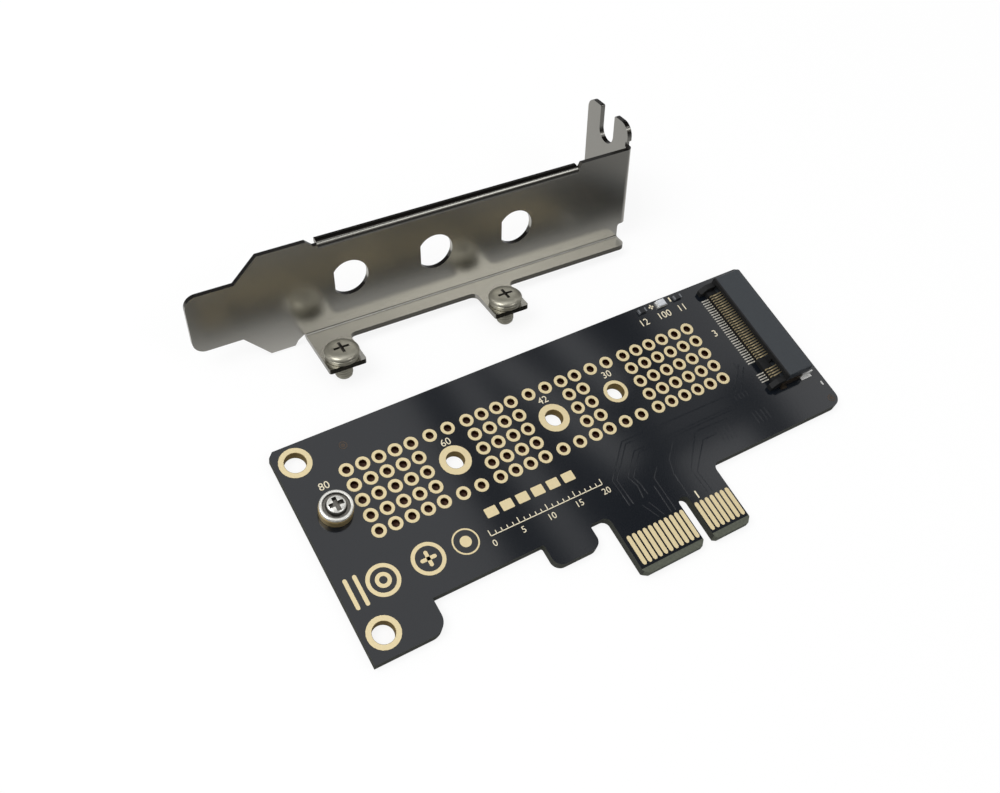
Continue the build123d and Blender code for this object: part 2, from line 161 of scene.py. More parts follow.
# Lamps: name, place, aim and size in millimetres, and share of the key lamp's power
LAMPS = (("key", (-420, 160, 620), (-8, 30, 0), (420, 420), 1.0),
         ("front_softbox", (195, -251, 472), (-20, 58, 5), (300, 200), 0.12))

# Copper traces under the mask, as points on the board's face
TRACES = (
    ((-8.3, 10.6), (-8.5, 15.4), (-3.3, 20.6), (19.4, 20.3), (22.9, 23.8), (22.9, 25.2)),
    ((-7.6, 10.6), (-7.8, 15.1), (-2.9, 20.0), (6.0, 20.0)),
    ((-5.6, 10.8), (-5.3, 13.0), (-5.9, 14.8), (-2.4, 18.3), (17.8, 18.3), (21.0, 21.5), (23.7, 24.6)),
    ((-4.6, 11.0), (-4.7, 13.0), (-5.1, 14.4), (-1.7, 17.8), (18.1, 17.8), (21.8, 21.0), (24.2, 23.8)),
    ((-2.0, 6.9), (-2.1, 12.9), (-0.7, 14.3)),
    ((-2.9, 6.9), (-2.9, 11.8)),
    ((5.2, 7.0), (5.0, 10.9), (9.3, 15.2), (12.2, 15.2)),
    ((4.4, 7.2), (4.2, 11.6), (9.0, 17.0), (16.6, 16.9)),
    ((1.3, 7.6), (1.3, 12.2), (2.1, 14.7), (4.6, 17.2)),
    ((-4.2, 7.0), (-5.3, 9.8)),
    ((-5.2, 7.0), (-6.5, 9.8)))
SHORT_TRACES = [((x, 13.2), (x, 15.9)) for x in (12.5, 13.3, 14.0, 14.8)]
SHORT_TRACES += [((x, 13.6), (x, 15.9)) for x in (20.1, 20.9, 21.8, 22.6)]
SHORT_TRACES += [((x, 18.8), (x, 19.8)) for x in (19.2, 20.0, 20.8, 21.6)]
TRACE_RISE = 0.025
SHORT_TRACE_RISE = 0.02

# Marks stand this high on the board
INK_RISE = 0.012
GOLD_RISE = 0.03

# Three register marks: bars by centre, size and corner, and rings by centre, outer and inner radius
GOLD_BARS = ((-52.6, 16.4, 0.62, 5.0, 0.3), (-51.1, 16.4, 0.62, 5.0, 0.3),
             (-40.3, 16.45, 2.6, 0.6, 0.28), (-40.3, 16.45, 0.6, 2.6, 0.28))
GOLD_RINGS = ((-47.6, 16.4, 2.55, 1.93), (-47.6, 16.4, 1.2, 0.6), (-40.3, 16.45, 2.6, 2.0),
              (-34.13, 16.43, 2.1, 1.85), (-34.13, 16.43, 0.9, 0))
# Row of plain pads
GOLD_BARS += tuple((-28.3 + step * 2.75, 18.98, 2.0, 1.6, 0.15) for step in range(6))

# Printed figures, with their centres and heights
FIGURES = (("80", -48.83, 33.3, 1.75), ("60", -28.95, 32.23, 1.75), ("42", -11.03, 32.43, 1.75),
           ("30", 1.32, 32.28, 1.75), ("12", 13.2, 38.43, 1.9), ("100", 17.5, 38.43, 1.9),
           ("11", 21.35, 38.43, 1.9), ("3", 23.65, 31.5, 1.9))
RULER_START = -30.3
RULER_LENGTH = 20
RULER_Y = 15.55
RULER_FIGURE = 1.5
RULER_FIGURE_DROP = 1.25
RULER_WIDTH = 0.14
RULER_TICK = 0.6
RULER_LONG_TICK = 1.0
RULER_CORNER = 0.02
INK_CORNER = 0.05
# Plus sign and bar beside the light, and a tick by the short row of contacts
INK_BARS = ((16.17, 40.73, 0.95, 0.26), (16.17, 40.73, 0.26, 0.95), (20.22, 40.78, 0.3, 0.9),
            (2.57, 7.58, 0.24, 1.3))
# Copper rings, each round a dot: centres, then outer radius, inner radius and rise
AIMING_MARKS = ((-43.36, 38.33), (34.87, 12.33))
AIMING_RING = (0.66, 0.5, 0.01)
AIMING_DOT = (0.32, 0, 0.01)
# Speck of solder, by centre, size, corner and rise
SOLDER_SPECK = (35.27, 15.43, 0.32, 0.8, 0.14, 0.03)


# Colours and shader nodes


def linear(hex_colour):
    """Linear red, green, blue and alpha of an sRGB hex colour."""
    parts = [int(hex_colour[i:i + 2], 16) / 255 for i in (1, 3, 5)]
    return [p / 12.92 if p <= 0.04045 else ((p + 0.055) / 1.055) ** 2.4 for p in parts] + [1.0]


def toned(colour, factor=1.0):
    """A setting's colour made lighter or darker, with alpha."""
    return [part * factor for part in colour] + [1.0]


def add(tree, kind, sockets=None, **settings):
    """Adds a node with its settings, and fills its sockets with values or links."""
    made = tree.nodes.new(kind)
    for name, value in settings.items():
        setattr(made, name, value)
    for name, value in (sockets or {}).items():
        if isinstance(value, bpy.types.NodeSocket):
            tree.links.new(value, made.inputs[name])
        else:
            made.inputs[name].default_value = value
    return made


def noise(tree, place, scale, detail=2.0):
    """Noise whose grains come so many to the millimetre."""
    made = add(tree, "ShaderNodeTexNoise", {"Vector": place, "Scale": scale / MM, "Detail": detail})
    return made.outputs["Fac"]


def blend(tree, share, low, high):
    """Mixes two colours, each a hex colour, a list or a link."""
    low, high = [linear(each) if isinstance(each, str) else each for each in (low, high)]
    return add(tree, "ShaderNodeMix", {0: share, 6: low, 7: high}, data_type="RGBA").outputs[2]


def between(tree, share, low, high):
    """Mixes two plain values."""
    return add(tree, "ShaderNodeMix", {0: share, 2: low, 3: high}, data_type="FLOAT").outputs[0]


def ramp(tree, value, low, high, first=0.0, last=1.0):
    """Goes from a first result to a last one while a value goes from low to high."""
    return add(tree, "ShaderNodeMapRange", {"Value": value, "From Min": low, "From Max": high,
                                            "To Min": first, "To Max": last}).outputs[0]


def maths(tree, operation, *values):
    """One step of arithmetic."""
    return add(tree, "ShaderNodeMath", dict(enumerate(values)), operation=operation).outputs[0]


def dot(tree, vector, axis):
    """How far a vector goes along an axis."""
    return add(tree, "ShaderNodeVectorMath", {0: vector, 1: axis}, operation="DOT_PRODUCT").outputs["Value"]


def along(tree, vector, axis):
    """One coordinate of a vector."""
    return add(tree, "ShaderNodeSeparateXYZ", {0: vector}).outputs[axis]


def combined(tree, *parts):
    """A vector of three coordinates."""
    return add(tree, "ShaderNodeCombineXYZ", dict(enumerate(parts))).outputs[0]


def start(name, colour, roughness, metallic=0.0, **sockets):
    """New material with its main shader set and the object's own coordinates."""
    material = bpy.data.materials.new(name)
    material.use_nodes = True
    tree = material.node_tree
    shader = tree.nodes["Principled BSDF"]
    shader.inputs["Base Color"].default_value = linear(colour)
    shader.inputs["Roughness"].default_value = roughness
    shader.inputs["Metallic"].default_value = metallic
    for socket, value in sockets.items():
        shader.inputs[socket].default_value = value
    place = add(tree, "ShaderNodeTexCoord").outputs["Object"]
    return material, tree, shader, place


def surface(tree, shader, colour, roughness=None):
    """Gives a shader its colour, and where wanted a roughness that varies."""
    tree.links.new(colour, shader.inputs["Base Color"])
    if roughness is not None:
        tree.links.new(roughness, shader.inputs["Roughness"])


def emboss(tree, shader, height, strength, distance):
    """Gives a shader a fine relief, so many millimetres deep."""
    relief = add(tree, "ShaderNodeBump", {"Height": height, "Strength": strength, "Distance": distance * MM})
    tree.links.new(relief.outputs[0], shader.inputs["Normal"])


def mottled(name, colour, gloss, metallic, tones, scale, detail=2.0, **sockets):
    """Material that wanders between two tones, in grains that come so many to the millimetre."""
    material, tree, shader, place = start(name, colour, gloss, metallic, **sockets)
    spots = noise(tree, place, scale, detail)
    surface(tree, shader, blend(tree, spots, *tones))
    return material, tree, shader, spots


def settings():
    """The settings that a user has made."""
    return bpy.context.scene.adapter_card


# Materials


def sprayed_mask():
    """Black solder mask sprayed over glass-epoxy laminate: a glossy, faintly blue skin on the faces,
    and the bare olive laminate where the board was routed and bevelled."""
    look = settings().board
    material, tree, shader, place = start("sprayed_mask", "#15171a", look.gloss)
    normal = add(tree, "ShaderNodeTexCoord").outputs["Normal"]
    facing = maths(tree, "ABSOLUTE", along(tree, normal, "Z"))
    raised = ramp(tree, along(tree, place, "Z"), (BOARD_TOP - 0.02) * MM, (BOARD_TOP - 0.01) * MM)
    flat = maths(tree, "MAXIMUM", ramp(tree, facing, 0.88, 0.92), raised)
    # The mask stops short of the connector's edge, and the bevel and the edge itself are ground
    ahead = along(tree, place, "Y")
    flat = maths(tree, "MULTIPLY", flat, ramp(tree, ahead, MASK_START * MM, (MASK_START + 0.05) * MM))
    bare = maths(tree, "LESS_THAN", ahead, GROUND_END * MM)
    ground = maths(tree, "MAXIMUM", ramp(tree, facing, 0.05, 0.15), bare)
    mask = blend(tree, noise(tree, place, 0.12), toned(look.mask_colour), toned(look.mask_colour, 1.25))
    # Woven glass of the laminate, 0.4 mm bundles
    weave = noise(tree, place, 2.5, 3.0)
    routed = blend(tree, weave, "#2a2c27", "#42443a")
    bevelled = blend(tree, weave, "#373a31", "#5e6254")
    laminate = blend(tree, ground, routed, bevelled)
    surface(tree, shader, blend(tree, flat, laminate, mask), ramp(tree, flat, 0.0, 1.0, 0.6, look.gloss))
    # Orange peel of the sprayed skin, 0.5 mm across
    emboss(tree, shader, noise(tree, place, 2.0, 1.0), 0.05, 0.01)
    return material


def immersion_gold():
    """Immersion gold over nickel on copper: pale, grainy gold, almost matt."""
    look = settings().plating
    material, tree, shader, place = start("immersion_gold", "#f0e0b4", 0.6, 0.62)
    grain = noise(tree, place, 3.0)
    colour = blend(tree, grain, toned(look.gold_colour), toned(look.gold_colour, 0.92))
    surface(tree, shader, colour, ramp(tree, grain, 0.0, 1.0, 0.54, 0.68))
    emboss(tree, shader, grain, 0.12, 0.01)
    return material


def plated_barrel():
    """Plated wall inside a hole, painted a dark brown with little gold left in it: painted shade for the
    dark down inside the hole.
    """
    return mottled("plated_barrel", "#6a4426", 0.5, 1.0, ("#573318", "#7d5630"), 1.0)[0]


def flushed_barrel():
    """Plated wall of a large hole: gold painted darker and browner than the pads, a painted shade inside the
    hole.
    """
    return mottled("flushed_barrel", "#8a7344", 0.5, 0.7, ("#7a6231", "#b09a66"), 0.8)[0]


def bare_copper():
    """Copper under clear resin, aged to a dull brown."""
    return mottled("bare_copper", "#40332a", 0.4, 0.0, ("#2f2822", "#4d3c2e"), 2.0)[0]


def plugging_resin():
    """Painted shade: dark brown, matt plugs with a slight dish, set in the cooling holes for the shade down
    inside them.
    """
    return mottled("plugging_resin", "#4a2a18", 0.7, 0.0, ("#3d2113", "#5c3822"), 3.0)[0]


def printed_ink():
    """Screen-printed epoxy ink: a matt cream, a little uneven where it went through the mesh."""
    return mottled("printed_ink", "#e4d9bd", 0.6, 0.0, ("#cfc4a6", "#efe6cd"), 6.0, 1.0)[0]


def moulded_plastic():
    """Glass-filled liquid crystal polymer, moulded black: satin with a fine flow grain. The broad cover
    is painted greyer, a painted sheen for the light that its top catches."""
    material, tree, shader, place = start("moulded_plastic", "#1b1c1f", 0.42)
    grain = noise(tree, place, 4.0, 3.0)
    body = blend(tree, grain, "#0c0d0e", "#141517")
    # Painted sheen: the broad cover is painted greyer than the body, for the light that its top catches
    cover = blend(tree, grain, "#2c3034", "#363b40")
    broad = ramp(tree, along(tree, place, "X"), COVER_START * MM, (COVER_START + 0.05) * MM)
    satin = ramp(tree, grain, 0.0, 1.0, 0.36, 0.5)
    surface(tree, shader, blend(tree, broad, body, cover), between(tree, broad, 0.75, satin))
    emboss(tree, shader, grain, 0.15, 0.02)
    return material


def spring_contacts():
    """Copper-alloy springs, gold-plated where the drive touches them and tinned at the tails."""
    material, tree, shader, place = start("spring_contacts", "#c9a868", 0.35, 0.7)
    ahead = along(tree, place, "X")
    comb = ramp(tree, ahead, COMB_START * MM, (COMB_START + 0.04) * MM)
    inside = ramp(tree, ahead, SLOT_START * MM, (SLOT_START + 0.04) * MM)
    wear = noise(tree, place, 2.0)
    gold = blend(tree, wear, "#a1906d", "#dccda6")
    tin = blend(tree, wear, "#d6d2c6", "#f3f0e6")
    # Painted shade: the riser down in the comb is painted near black, for the shade there
    shaded_riser = blend(tree, comb, tin, "#1d1914")
    surface(tree, shader, blend(tree, inside, shaded_riser, gold))
    return material


def tin_plate():
    """Tin-plated brass wetted by solder: bright, softly rippled silver."""
    material, tree, shader, ripple = mottled("tin_plate", "#d8d8d4", 0.3, 0.6, ("#b4b4b0", "#ebebe8"), 1.5)
    emboss(tree, shader, ripple, 0.3, 0.03)
    return material


def soldered_lug():
    """Brass lug, bright at its rear foot and a near-black brown in front of it."""
    material, tree, shader, place = start("soldered_lug", "#8d8a84", 0.35, 0.6)
    bright_rear = ramp(tree, along(tree, place, "X"), LUG_BRIGHT_START * MM, (LUG_BRIGHT_START + 0.3) * MM)
    stain = noise(tree, place, 1.5)
    dark_front = blend(tree, stain, "#17130f", "#4d4236")
    surface(tree, shader, blend(tree, bright_rear, dark_front, blend(tree, stain, "#c2c2c0", "#f4f4f2")))
    return material


def turned_brass():
    """Free-cutting brass turned on a lathe: warm yellow metal with fine rings round its side."""
    material, tree, shader, place = start("turned_brass", "#b39c66", 0.34, 0.7)
    wide = add(tree, "ShaderNodeMapping", {"Vector": place, "Scale": (0.1, 0.1, 9.0)}).outputs[0]
    rings = noise(tree, wide, 1.0, 1.0)
    surface(tree, shader, blend(tree, rings, "#a58d5a", "#dcc796"))
    emboss(tree, shader, rings, 0.25, 0.02)
    return material


def nickel(name, dark, light, gloss, metallic):
    """Metal plate between two tones, with a finish that wear changes a little."""
    material, tree, shader, wear = mottled(name, light, gloss, metallic, (dark, light), 1.2, 3.0)
    rough = ramp(tree, wear, 0.0, 1.0, gloss - 0.05, gloss + 0.05)
    tree.links.new(rough, shader.inputs["Roughness"])
    return material


def nickel_plate():
    """Bright nickel plate on a turned screw: near white, with a satin shine."""
    return nickel("nickel_plate", "#dcdbd4", "#f8f7f2", 0.27, 0.5)


def dull_nickel():
    """Dull nickel plate on cold-headed, tumbled screws: a warm grey satin."""
    return nickel("dull_nickel", "#9c998b", "#bfbcae", 0.34, 0.75)


def dulled_tin():
    """Matt tin plate on the resistors' ends, dulled by the oven: mid grey."""
    return nickel("dulled_tin", "#5f6266", "#7d8084", 0.5, 0.3)


def rolled_steel():
    """Cold-rolled steel sheet with a dull nickel plate: warm grey satin, rolled along its length."""
    look = settings().bracket
    material, tree, shader, place = start("rolled_steel", "#a19c90", look.roughness, 1.0)
    across, back, up = BRACKET_TURN.to_3x3().transposed()
    normal = add(tree, "ShaderNodeNewGeometry").outputs["Normal"]
    slope = dot(tree, normal, up)
    # Rolling marks, drawn 0.5 mm apart so that they show
    marks = [dot(tree, place, axis) for axis in (across * 0.04, back, up)]
    streak = ramp(tree, noise(tree, combined(tree, *marks), 2.0), 0.0, 1.0, 0.98, 1.02)
    colour = blend(tree, noise(tree, place, 0.15), toned(look.steel_colour), toned(look.steel_colour, 0.94))
    colour = add(tree, "ShaderNodeVectorMath", {0: colour, 1: combined(tree, streak, streak, streak)},
                 operation="MULTIPLY").outputs[0]
    # Painted shade: the bends are painted darker, for the dark that their curve mirrors
    bend_shade = maths(tree, "MULTIPLY", ramp(tree, slope, 0.26, 0.36), ramp(tree, slope, 0.58, 0.63, 0.85, 0.0))
    colour = blend(tree, bend_shade, colour, "#38352f")
    # Painted reflection: edges and the lip that face up are painted near black, 2 mm above the foot and
    # higher, for the dark that they mirror
    side = maths(tree, "ABSOLUTE", dot(tree, normal, across))
    facing = ramp(tree, maths(tree, "MULTIPLY_ADD", side, 0.25, slope), 0.77, 0.82)
    above = maths(tree, "GREATER_THAN", marks[2], up.dot(BRACKET_FOOT) + 2.0 * MM)
    colour = blend(tree, maths(tree, "MULTIPLY", facing, above), colour, "#1b1917")
    # The flange's front edge, more than 1 mm ahead of the face, is sheared and shows bare steel
    ahead = maths(tree, "LESS_THAN", marks[1], back.dot(BRACKET_FOOT) - 1.0 * MM)
    sheared = maths(tree, "MULTIPLY", ramp(tree, dot(tree, normal, -back), 0.6, 0.7, 0.0, 0.8), ahead)
    surface(tree, shader, blend(tree, sheared, colour, "#4d4a42"))
    return material


def recess_steel():
    """Inside of a pressed cross recess and of the drive screw's groove: dark, dull steel, a painted shade
    for the dark in these hollows.
    """
    return mottled("recess_steel", "#757370", 0.3, 0.9, ("#4f4d4a", "#86837d"), 4.0)[0]


def lens_resin():
    """Cast epoxy over the lamp chip: milky and nearly clear, bright from the light that it scatters."""
    return mottled("lens_resin", "#9da1a4", 0.2, 0.0, ("#a2a6ab", "#dcdee2"), 1.0, 1.0,
                   **{"Coat Weight": 0.6, "Coat Roughness": 0.05})[0]


def lamp_laminate():
    """White bismaleimide laminate under the lamp chip: matt off-white."""
    return mottled("lamp_laminate", "#d6d2c4", 0.6, 0.0, ("#a9a79c", "#cbc9be"), 4.0)[0]


def resistor_glass():
    """Black overcoat glass of a chip resistor: dark and glossy."""
    return mottled("resistor_glass", "#16171a", 0.22, 0.0, ("#121316", "#222428"), 3.0)[0]


def finish(maker):
    """A material by its maker, made once."""
    return bpy.data.materials.get(maker.__name__) or maker()


def dress(maker, *nodes):
    """Gives CAD nodes a material in place of their plain one."""
    for name in nodes:
        mesh = NODES[name].data
        mesh.materials.clear()
        mesh.materials.append(finish(maker))


# Shapes


def shown(name, data):
    """New object in the scene."""
    made = bpy.data.objects.new(name, data)
    bpy.context.scene.collection.objects.link(made)
    return made


def solid(name, shape):
    """New mesh from a shape, which is then freed."""
    mesh = bpy.data.meshes.new(name)
    shape.to_mesh(mesh)
    shape.free()
    return mesh


def evaluated(holder):
    """Shape of an object with its modifiers applied; the object is then removed."""
    bpy.context.view_layer.update()
    mesh = bpy.data.meshes.new_from_object(holder.evaluated_get(bpy.context.evaluated_depsgraph_get()))
    bpy.data.objects.remove(holder)
    shape = bmesh.new()
    shape.from_mesh(mesh)
    bpy.data.meshes.remove(mesh)
    return shape


def piece(shape, name, maker, replaces=(), within=None):
    """Finishes a shape as a piece that rides on the card, with another material within its recess."""
    mesh = solid(name, shape)
    made = shown(name, mesh)
    mesh.materials.append(finish(maker))
    if within:
        mesh.materials.append(finish(within))
    mesh.shade_smooth()
    mesh.set_sharp_from_angle(angle=SHARP_ANGLE)
    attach(made, BODY)
    if replaces:
        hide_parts(*replaces)


def moved(shape, offset, verts=None):
    """Moves a shape, or some of its vertices, by an offset in millimetres."""
    bmesh.ops.translate(shape, verts=shape.verts if verts is None else verts, vec=Vector(offset) * MM)


def lathe(shape, profile, steps, closed=False):
    """Turns a section of (radius, height) points about Z, and returns the new vertices."""
    points = [shape.verts.new((r * MM, 0, z * MM)) for r, z in profile]
    edges = [shape.edges.new(pair) for pair in zip(points, points[1:])]
    if closed:
        edges.append(shape.edges.new((points[-1], points[0])))
    before = set(shape.verts) - set(points)
    bmesh.ops.spin(shape, geom=points + edges, cent=(0, 0, 0), axis=(0, 0, 1), angle=2 * math.pi,
                   steps=steps, use_merge=True)
    made = [v for v in shape.verts if v not in before]
    bmesh.ops.remove_doubles(shape, verts=made, dist=1e-7)
    made = [v for v in shape.verts if v not in before]
    faces = list({f for v in made for f in v.link_faces})
    bmesh.ops.recalc_face_normals(shape, faces=faces)
    return made


def turned(profile, steps, closed=False):
    """New shape, turned about Z from a section."""
    shape = bmesh.new()
    lathe(shape, profile, steps, closed)
    return shape


def repeat(shape, places):
    """Copies all of a shape to each place, in millimetres."""
    first = list(shape.verts) + list(shape.edges) + list(shape.faces)
    for place in places[1:]:
        copy = bmesh.ops.duplicate(shape, geom=first)["geom"]
        moved(shape, place, [item for item in copy if isinstance(item, bmesh.types.BMVert)])
    moved(shape, places[0], [item for item in first if isinstance(item, bmesh.types.BMVert)])


def block(shape, centre, size):
    """Adds a block by its centre and size, in millimetres."""
    place = Matrix.Translation(Vector(centre) * MM) @ Matrix.Diagonal((*(Vector(size) * MM), 1))
    return bmesh.ops.create_cube(shape, size=1.0, matrix=place)["verts"]


def joined(shapes):
    """One shape out of several."""
    whole = bmesh.new()
    for shape in shapes:
        mesh = solid("part", shape)
        whole.from_mesh(mesh)
        bpy.data.meshes.remove(mesh)
    return whole


def bar(shape, x, y, width, height, corner, rise):
    """Thin flat bar on the board's face, its upright corners rounded."""
    made = block(shape, (x, y, BOARD_TOP + rise / 2), (width, height, rise))
    upright = [e for e in {e for v in made for e in v.link_edges}
               if abs(e.verts[0].co.z - e.verts[1].co.z) > 1e-9]
    bmesh.ops.bevel(shape, geom=upright, offset=corner * MM, offset_type="OFFSET", segments=3,
                    profile=0.5, affect="EDGES", material=-1)


def ring(shape, x, y, outer, inner, rise):
    """Thin flat ring, or a disc where its inner radius is 0, on the board's face."""
    top = BOARD_TOP + rise
    profile = ((inner, BOARD_TOP), (outer, BOARD_TOP), (outer, top), (inner, top))
    moved(shape, (x, y, 0), lathe(shape, profile, RING_SIDES, closed=inner > 0))


def figures(body, x, y, size):
    """Plain figures as a thin print, centred on a place on the board."""
    curve = bpy.data.curves.new("figures", "FONT")
    curve.body = body
    curve.size = size * MM
    curve.align_x = "CENTER"
    curve.align_y = "CENTER"
    curve.extrude = INK_RISE / 2 * MM
    curve.resolution_u = 3
    shape = evaluated(shown("figures", curve))
    moved(shape, (x, y, BOARD_TOP + INK_RISE / 2))
    return shape


def ridges(lines, width, rise):
    """Low rounded ridges along lines on the board's face, in millimetres."""
    radius = (width * width / 4 + rise * rise) / (2 * rise)
    curve = bpy.data.curves.new("ridges", "CURVE")
    curve.dimensions = "3D"
    curve.bevel_depth = radius * MM
    curve.bevel_resolution = 7
    curve.use_fill_caps = True
    for line in lines:
        spline = curve.splines.new("POLY")
        spline.points.add(len(line) - 1)
        for point, (x, y) in zip(spline.points, line):
            point.co = (x * MM, y * MM, (BOARD_TOP + rise - radius) * MM, 1)
    return evaluated(shown("ridges", curve))


def vent_places():
    """Centres of the cooling holes on the board's upper face."""
    middle = (VENT_ROWS - 1) / 2
    rows = [DRIVE_AXIS + (middle - r) * VENT_ROW_PITCH for r in range(VENT_ROWS)]
    places = []
    for hole, first, columns in zip(DRIVE_HOLES, VENT_STARTS, VENT_COLUMNS):
        places += [(hole + first + i * VENT_PITCH, y, 0.0) for i in range(columns) for y in rows]
    for hole in DRIVE_HOLES[1:]:
        places += [(hole + side * VENT_PAIR, y, 0.0) for side in (-1, 1) for y in (rows[0], rows[-1])]
    return places


def cross_cutter(height, span, width, depth):
    """Tapered cross that a screwdriver's tip would fill."""
    shape = bmesh.new()
    middle = height - depth / 2
    block(shape, (0, 0, middle), (width, width, depth))
    sides = [f for f in shape.faces if abs(f.normal.z) < 0.5]
    for arm in bmesh.ops.extrude_discrete_faces(shape, faces=sides)["faces"]:
        out = arm.normal * (span - width) / 2
        moved(shape, out, arm.verts)
        moved(shape, -out * 0.35, [v for v in arm.verts if v.co.z < middle * MM])
    bmesh.ops.remove_doubles(shape, verts=shape.verts, dist=1e-8)
    return shape


def carved(shape, cutter):
    """A shape with a cutter's form taken out of it, whose walls get the second material."""
    for face in cutter.faces:
        face.material_index = 1
    objects = []
    for name, part in (("blank", shape), ("cutter", cutter)):
        bmesh.ops.recalc_face_normals(part, faces=part.faces)
        mesh = solid(name, part)
        mesh.materials.append(finish(nickel_plate))
        mesh.materials.append(finish(recess_steel))
        objects.append(shown(name, mesh))
    cut = objects[0].modifiers.new("recess", "BOOLEAN")
    cut.operation = "DIFFERENCE"
    cut.solver = "EXACT"
    cut.object = objects[1]
    result = evaluated(objects[0])
    bpy.data.objects.remove(objects[1])
    return result


def thread(shape, root, crest, pitch, low, high, steps=20):
    """Helical ridge round a shank, from one height to another."""
    turns = int((high - low) / pitch)
    half = pitch * 0.42
    middle = low + half
    points = [shape.verts.new(Vector(p) * MM) for p in
              ((root - 0.05, 0, middle - half), (crest, 0, middle), (root - 0.05, 0, middle + half))]
    edges = [shape.edges.new((points[i], points[(i + 1) % 3])) for i in range(3)]
    cap = shape.faces.new(points)
    count = turns * steps
    rise = (high - low - 2 * half) / count
    bmesh.ops.spin(shape, geom=[*points, *edges, cap], cent=(0, 0, 0), axis=(0, 0, 1),
                   dvec=(0, 0, rise * MM), angle=turns * 2 * math.pi, steps=count)


# Settings that a user would change


class BoardLook(bpy.types.PropertyGroup):
    """Solder mask and the traces under it"""
    mask_colour: FloatVectorProperty(name="Mask colour", description="Colour of the board's solder mask",
                                     subtype="COLOR", min=0, max=1, default=linear("#0d1117")[:3])
    gloss: FloatProperty(name="Mask roughness", description="How far the mask spreads its reflections",
                         subtype="FACTOR", min=0.05, max=1, default=0.1)
    trace_width: FloatProperty(name="Trace width", description="Width of the copper traces under the mask",
                               subtype="DISTANCE", min=0.00005, max=0.001, default=0.00022)


class PlatingLook(bpy.types.PropertyGroup):
    """Gold on copper"""
    gold_colour: FloatVectorProperty(name="Gold colour", description="Colour of the gold-plated copper",
                                     subtype="COLOR", min=0, max=1, default=linear("#f1e1b6")[:3])
    ring_radius: FloatProperty(name="Ring radius",
                               description="Outer radius of the ring round a cooling hole",
                               subtype="DISTANCE", min=0.0007, max=0.0013, default=0.00115)
    ring_steps: IntProperty(name="Ring sides", description="Sides of each ring", min=8, max=48, default=18)


class BracketLook(bpy.types.PropertyGroup):
    """Bracket's steel"""
    steel_colour: FloatVectorProperty(name="Steel colour", description="Colour of the plated steel",
                                      subtype="COLOR", min=0, max=1, default=linear("#bfbdb6")[:3])
    roughness: FloatProperty(name="Steel roughness",
                             description="How far the bracket spreads its reflections",
                             subtype="FACTOR", min=0.05, max=1, default=0.24)


class StageLook(bpy.types.PropertyGroup):
    """Floor and lamps"""
    floor_colour: FloatVectorProperty(name="Floor colour", description="Colour of the floor",
                                      subtype="COLOR", min=0, max=1, default=linear("#f4f4f4")[:3])
    floor_size: FloatProperty(name="Floor size", description="Length of the floor's sides",
                              subtype="DISTANCE", min=0.5, max=20, default=6.0)
    key_power: FloatProperty(name="Key lamp", description="Power of the main soft lamp",
                             unit="POWER", min=0, max=50, default=3.0)


class CardLook(bpy.types.PropertyGroup):
    """All settings, by what they change"""
    board: PointerProperty(type=BoardLook, name="Board", description="Solder mask and traces")
    plating: PointerProperty(type=PlatingLook, name="Plating", description="Gold plating")
    bracket: PointerProperty(type=BracketLook, name="Bracket", description="Bracket")
    stage: PointerProperty(type=StageLook, name="Stage", description="Floor and lamps")


# Operators


class CARD_OT_board(bpy.types.Operator):
    """Gives the board, its contacts and its pads their materials"""
    bl_idname = "card.board"
    bl_label = "Board and contacts"

    def execute(self, context):
        dress(sprayed_mask, "circuit_board")
        dress(immersion_gold, "hole_pads_drive", "hole_pads_bracket")
        dress(immersion_gold, "edge_contacts_front", "edge_contacts_back")
        width = settings().board.trace_width / MM
        traces = [ridges(TRACES, width, TRACE_RISE), ridges(SHORT_TRACES, width, SHORT_TRACE_RISE)]
        piece(joined(traces), "mask_over_traces", sprayed_mask)
        return {"FINISHED"}


class CARD_OT_vents(bpy.types.Operator):
    """Plated rings and walls of the cooling holes and the large holes"""
    bl_idname = "card.vents"
    bl_label = "Plated holes"

    def execute(self, context):
        look = settings().plating
        outer = look.ring_radius / MM
        top = BOARD_TOP + VENT_RING_RISE
        rim = BOARD_TOP - VENT_RING_DROP
        profile = ((outer, BOARD_TOP), (outer - VENT_OUTER_SLOPE, top),
                   (VENT_RADIUS + VENT_INNER_SLOPE, top), (VENT_RADIUS, rim))
        rings = turned(profile, look.ring_steps)
        repeat(rings, vent_places())
        piece(rings, "vent_rings", immersion_gold)
        # Walls of the cooling holes, painted dark as the shade down in them
        walls = turned(((VENT_RADIUS, rim), (VENT_RADIUS, 0.0)), look.ring_steps)
        bmesh.ops.reverse_faces(walls, faces=walls.faces)
        repeat(walls, vent_places())
        piece(walls, "vent_walls", plated_barrel)
        # Dark plugs in the cooling holes: a painted shade
        plugs = turned(VENT_SHADE_PLUG, PLUG_SIDES)
        repeat(plugs, vent_places())
        piece(plugs, "vent_shade_plugs", plugging_resin)
        # Walls of the large holes, gold painted darker as the shade inside them
        piece(self.barrels(), "hole_barrels", flushed_barrel)
        return {"FINISHED"}

    def barrels(self):
        barrels = bmesh.new()
        for radius, places in ((DRIVE_HOLE_RADIUS, [(x, DRIVE_AXIS) for x in DRIVE_HOLES[1:]]),
                               (BRACKET_HOLE_RADIUS, BRACKET_HOLES)):
            inner = radius - BARREL_WALL
            outer = radius - BARREL_OVERLAP
            profile = ((outer, PAD_TOP), (inner, PAD_TOP - BARREL_ROUND), (inner, BARREL_ROUND),
                       (outer, 0.0))
            for x, y in places:
                moved(barrels, (x, y, 0), lathe(barrels, profile, RING_SIDES, closed=True))
        return barrels


